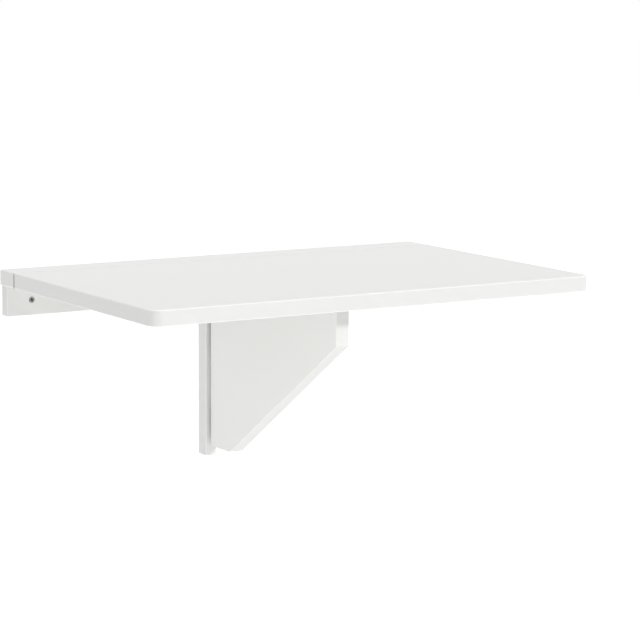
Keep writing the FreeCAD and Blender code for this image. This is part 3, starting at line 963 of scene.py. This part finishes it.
@dataclass
class WallFrame(SubAssembly):
    """The strip, rail and post that stay on the wall, with their wall screws."""

    strip_end_arris: float = 1.5 * MM
    slit_arris: float = 0.4 * MM
    rail_arris: float = 1.2 * MM
    post_arris: float = 0.8 * MM
    screw_bore: float = 2.2 * MM
    screw_pitch: float = 1.8 * MM
    screw_shank_ratio: float = 0.3625
    thread_length: float = 30 * MM

    def strip(self) -> Board:
        """The fixed strip of the top, nearly sharp at the slit and eased at its ends."""
        end, slit = self.strip_end_arris, self.slit_arris
        return Board(
            "wall_strip", Body.WALL_FRAME, Slot.LACQUER, Lie.FLAT, [SHARP] * 4,
            low_arris=[SHARP, end, SHARP, end], high_arris=[slit, end, SHARP, end],
            slit_sides=[1.0, 0.0, 0.0, 0.0])

    def upright(self, node: str, eased: float, screws: ScrewRow) -> Board:
        """A board that stands on the wall with its front, ends and lower edge eased.

        Args:
            node: The board's node.
            eased: The radius of its eased arrises.
            screws: The wall screws that go through it.

        Returns:
            The board, sharp on the wall and above, with a hole for each screw.
        """
        return Board(
            node, Body.WALL_FRAME, Slot.LACQUER, Lie.FACING_ROOM, [eased, eased, SHARP, SHARP],
            low_arris=[eased, eased, SHARP, eased], high_arris=[SHARP] * 4,
            holes=screws.holes(self.screw_bore))

    def wall_screws(self, node: str, count: int) -> ScrewRow:
        """A row of screws into the wall."""
        return ScrewRow(
            node, Body.WALL_FRAME, Slot.ZINC_SCREW, shaft=1, row=0, count=count, pitch=self.screw_pitch,
            shank_ratio=self.screw_shank_ratio, thread_length=self.thread_length)

    def pieces(self) -> list[Piece]:
        """The boards and the wall screws.

        Returns:
            The strip, the rail, the post and both rows of screws.
        """
        rail_screws = self.wall_screws("rail_wall_screws", 4)
        post_screw = self.wall_screws("post_wall_screw", 1)
        rail = self.upright("wall_rail", self.rail_arris, rail_screws)
        post = self.upright("hinge_post", self.post_arris, post_screw)
        return [self.strip(), rail, post, rail_screws, post_screw]


@dataclass
class DropLeaf(SubAssembly):
    """The leaf with its stop block and the block's screws."""

    corner_radius: float = 15 * MM
    arris: float = 1.5 * MM
    slit_arris: float = 0.4 * MM
    block_arris: float = 1.0 * MM
    screw_bore: float = 1.5 * MM
    screw_pitch: float = 1.35 * MM

    def leaf(self) -> Board:
        """The leaf: rounded front corners and eased edges all round but for the slit."""
        front, eased, slit = self.corner_radius, self.arris, self.slit_arris
        return Board(
            "leaf", Body.DROP_LEAF, Slot.LACQUER, Lie.FLAT, [front, front, SHARP, SHARP],
            low_arris=[eased, eased, SHARP, eased], high_arris=[eased, eased, slit, eased],
            slit_sides=[0.0, 0.0, 1.0, 0.0], corner_steps=20, arris_steps=8)

    def block(self) -> Board:
        """The stop block, eased round its lower face, with two screw holes."""
        return Board(
            "stop_block", Body.DROP_LEAF, Slot.LACQUER, Lie.FLAT, [SHARP] * 4,
            low_arris=[self.block_arris] * 4, high_arris=[SHARP] * 4,
            holes=self.block_screws().holes(self.screw_bore))

    def block_screws(self) -> ScrewRow:
        """The two screws of the stop block."""
        return ScrewRow(
            "stop_block_screws", Body.DROP_LEAF, Slot.NICKEL_SCREW, shaft=2, row=1, count=2,
            pitch=self.screw_pitch)

    def pieces(self) -> list[Piece]:
        """The leaf, the block and its screws."""
        return [self.leaf(), self.block(), self.block_screws()]


@dataclass
class Bracket(SubAssembly):
    """The swinging panel that carries the open leaf."""

    foot_depth: float = 49.5 * MM
    nose_height: float = 54 * MM
    leaf_seat_gap: float = 0.3 * MM
    relief: float = 7.7 * MM
    tip_length: float = 60 * MM
    heel_radius: float = 5 * MM
    knee_radius: float = 18 * MM
    nose_radius: float = 3 * MM
    top_radius: float = 2 * MM
    tip_fillet: float = 7 * MM
    arris: float = 1.2 * MM
    hinge_arris: float = 0.4 * MM

    def panel(self) -> Board:
        """The panel: a raised tip at the nose, a straight foot and a slope between them.

        Returns:
            The board, sharper on its hinge side.
        """
        low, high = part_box("bracket_panel")
        nose, inner, bottom, top = low.y, high.y, low.z, high.z
        slope_top = top + self.leaf_seat_gap - self.nose_height
        shoulder = nose + self.tip_length
        corners = [(inner, bottom), (inner, top - self.relief), (shoulder + self.relief, top - self.relief),
                   (shoulder, top), (nose, top), (nose, slope_top), (inner - self.foot_depth, bottom)]
        radii = [self.heel_radius, self.top_radius, self.tip_fillet, self.top_radius, self.top_radius,
                 self.nose_radius, self.knee_radius]
        eased = [self.hinge_arris] + [self.arris] * (len(corners) - 1)
        return Board(
            "bracket_panel", Body.BRACKET, Slot.LACQUER, Lie.FACING_SIDE, radii,
            low_arris=eased, high_arris=eased, outline=corners, corner_steps=12)

    def pieces(self) -> list[Piece]:
        """The panel alone."""
        return [self.panel()]


class HingeFlap(Enum):
    """The kinds of flap: their screws' node, body, shaft axis, row axis and head side."""

    STRIP = ("leaf_hinge_{}_strip_screws", Body.WALL_FRAME, 2, 0, HeadSide.LOW)
    LEAF = ("leaf_hinge_{}_leaf_screws", Body.DROP_LEAF, 2, 0, HeadSide.LOW)
    POST = ("bracket_hinge_{}_post_screws", Body.WALL_FRAME, 0, 2, HeadSide.HIGH)
    PANEL = ("bracket_hinge_{}_panel_screws", Body.BRACKET, 1, 2, HeadSide.HIGH)


@dataclass
class HingePair(SubAssembly):
    """Two butt hinges on one axis, of which only the screws are remade."""

    places: tuple[str, str]
    flaps: tuple[HingeFlap, HingeFlap]
    count: int
    pitch: float
    columns: int = 20

    def screws(self, place: str, flap: HingeFlap) -> ScrewRow:
        """The screws of one flap of the hinge at a place."""
        node, body, shaft, row, head_side = flap.value
        return ScrewRow(
            node.format(place), body, Slot.NICKEL_SCREW, shaft, row, self.count, self.pitch, head_side,
            columns=self.columns)

    def pieces(self) -> list[Piece]:
        """The screws of every flap."""
        return [self.screws(place, flap) for place in self.places for flap in self.flaps]


def dress_nodes(finishes: dict[Slot, Material]) -> None:
    """Gives each node that stays its procedural finish.

    Args:
        finishes: The materials by slot.
    """
    for name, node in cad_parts.items():
        finish = finishes[Slot(node.data.materials[0].name)]
        node.material_slots[0].material = finish
        if not node.hide_render:
            LOG.info("%s keeps its shape and takes %s", name, finish.name)


# ---- studio

@dataclass(frozen=True)
class Lamp:
    """A far lamp. Angles are in degrees; azimuth 0 is in front and 90 to the right.

    A lamp without glints lights matt colour only, so that it leaves no glare on the top.
    """

    name: str
    strength: float
    width: float
    azimuth: float
    elevation: float
    glints: bool = False

    def build(self) -> None:
        """Adds the lamp, shining at the origin."""
        lamp = bpy.data.lights.new(self.name, "SUN")
        lamp.energy = self.strength
        lamp.angle = math.radians(self.width)
        holder = bpy.data.objects.new(self.name, lamp)
        a, e = math.radians(self.azimuth), math.radians(self.elevation)
        towards = Vector((math.sin(a) * math.cos(e), -math.cos(a) * math.cos(e), math.sin(e)))
        holder.rotation_euler = towards.to_track_quat("Z", "Y").to_euler()
        holder.visible_glossy = self.glints
        bpy.context.scene.collection.objects.link(holder)


@dataclass
class Studio:
    """A white room without walls: a pale floor, five far lamps and an even fill.

    The fill runs from sky_low on the horizon to sky_high overhead.
    """

    floor_drop: float = 0.75
    floor_half: float = 12.0
    floor_colour: Colour = (0.93, 0.93, 0.93, 1.0)
    floor_lift: float = 0.30
    floor_smooth: float = 0.8
    floor_rough: float = 0.95
    fibre_scale: float = 40.0
    sky_low: float = 0.2
    sky_high: float = 0.0
    lamps: tuple[Lamp, ...] = (
        Lamp("window_left", 0.37, 30.0, -55.0, 20.0),
        Lamp("window_behind", 0.48, 40.0, -120.0, 20.0),
        Lamp("key_right", 1.17, 4.0, 30.0, 19.7),
        Lamp("key_front", 0.52, 30.0, 0.0, 30.0),
        Lamp("ceiling", 1.62, 30.0, 0.0, 85.0, glints=True),
    )
    camera_place: Triple = (-1.6169, -2.9061, 0.4541)
    camera_yaw: float = 30.990
    camera_pitch: float = 8.562
    camera_roll: float = 0.231
    lens: float = 146.80
    shift: float = 0.0312

    def world(self) -> None:
        """White for rays from the camera, gloss and glass, and an even fill for all others."""
        world = bpy.data.worlds.new("studio_white")
        world.use_nodes = True
        sheet = Sheet(world.node_tree)
        direction = sheet.add("ShaderNodeTexCoord").outputs["Generated"]
        height = sheet.add("ShaderNodeSeparateXYZ", {0: direction}).outputs["Z"]
        strength = sheet.ramp(height, self.sky_low, self.sky_high)
        fill = sheet.add("ShaderNodeBackground", {"Color": WHITE, "Strength": strength})
        white = sheet.add("ShaderNodeBackground", {"Color": WHITE, "Strength": 1.0})
        path = sheet.add("ShaderNodeLightPath")
        seen = sheet.math("MAXIMUM", path.outputs["Is Camera Ray"], path.outputs["Is Glossy Ray"])
        seen = sheet.math("MAXIMUM", seen, path.outputs["Is Transmission Ray"])
        either = sheet.add("ShaderNodeMixShader", {0: seen, 1: fill.outputs[0], 2: white.outputs[0]})
        sheet.add("ShaderNodeOutputWorld", {"Surface": either.outputs[0]})
        bpy.context.scene.world = world

    def floor_material(self) -> Material:
        """Pale paper that gives off a little light of its own, and is clear from below.

        Returns:
            The floor's material.
        """
        material, sheet = new_material("floor_paper")
        spot = sheet.add("ShaderNodeTexCoord").outputs["Object"]
        fibre = sheet.noise(spot, self.fibre_scale, detail=3.0, roughness=0.5)
        rough = sheet.ramp(fibre, self.floor_smooth, self.floor_rough)
        paper = sheet.add("ShaderNodeBsdfPrincipled", {
            "Base Color": self.floor_colour, "Roughness": rough, "Specular IOR Level": 0.0,
            "Emission Color": WHITE, "Emission Strength": self.floor_lift})
        clear = sheet.add("ShaderNodeBsdfTransparent")
        below = sheet.add("ShaderNodeNewGeometry").outputs["Backfacing"]
        either = sheet.add("ShaderNodeMixShader", {0: below, 1: paper.outputs[0], 2: clear.outputs[0]})
        sheet.add("ShaderNodeOutputMaterial", {"Surface": either.outputs[0]})
        return material

    def floor(self) -> None:
        """A level square, z = -floor_drop."""
        far, z = self.floor_half, -self.floor_drop
        corners = [(-far, -far, z), (far, -far, z), (far, far, z), (-far, far, z)]
        mesh = bpy.data.meshes.new("floor")
        mesh.from_pydata(corners, [], [(0, 1, 2, 3)])
        mesh.materials.append(self.floor_material())
        floor = bpy.data.objects.new("floor", mesh)
        bpy.context.scene.collection.objects.link(floor)

    def camera(self) -> None:
        """A long lens, from the left and a little above."""
        data = bpy.data.cameras.new("camera")
        data.lens = self.lens
        data.shift_x = self.shift
        camera = bpy.data.objects.new("camera", data)
        camera.location = self.camera_place
        yaw, pitch, roll = (math.radians(a) for a in (self.camera_yaw, self.camera_pitch, self.camera_roll))
        turn = Euler((math.radians(90) - pitch, 0.0, -yaw)).to_matrix() @ Matrix.Rotation(roll, 3, "Z")
        camera.rotation_euler = turn.to_euler()
        bpy.context.scene.collection.objects.link(camera)
        bpy.context.scene.camera = camera

    def build(self) -> None:
        """Adds the room, the light and the camera."""
        self.world()
        self.floor()
        for lamp in self.lamps:
            lamp.build()
        self.camera()
        bpy.context.scene.view_settings.view_transform = "Standard"


# ---- the whole

def main() -> None:
    """Builds the finishes, the sub-assemblies and the studio, in this order."""
    logging.basicConfig(level=logging.INFO, format="%(name)s: %(message)s")
    finishes = {slot: finish.material() for slot, finish in FINISHES.items()}
    parts = (
        WallFrame(), DropLeaf(), Bracket(),
        HingePair(("left", "right"), (HingeFlap.STRIP, HingeFlap.LEAF), count=3, pitch=1.35 * MM),
        HingePair(("upper", "lower"), (HingeFlap.POST, HingeFlap.PANEL), count=2, pitch=1.1 * MM),
    )
    for part in parts:
        part.build(finishes)
    dress_nodes(finishes)
    Studio().build()


if __name__ == "__main__":
    main()
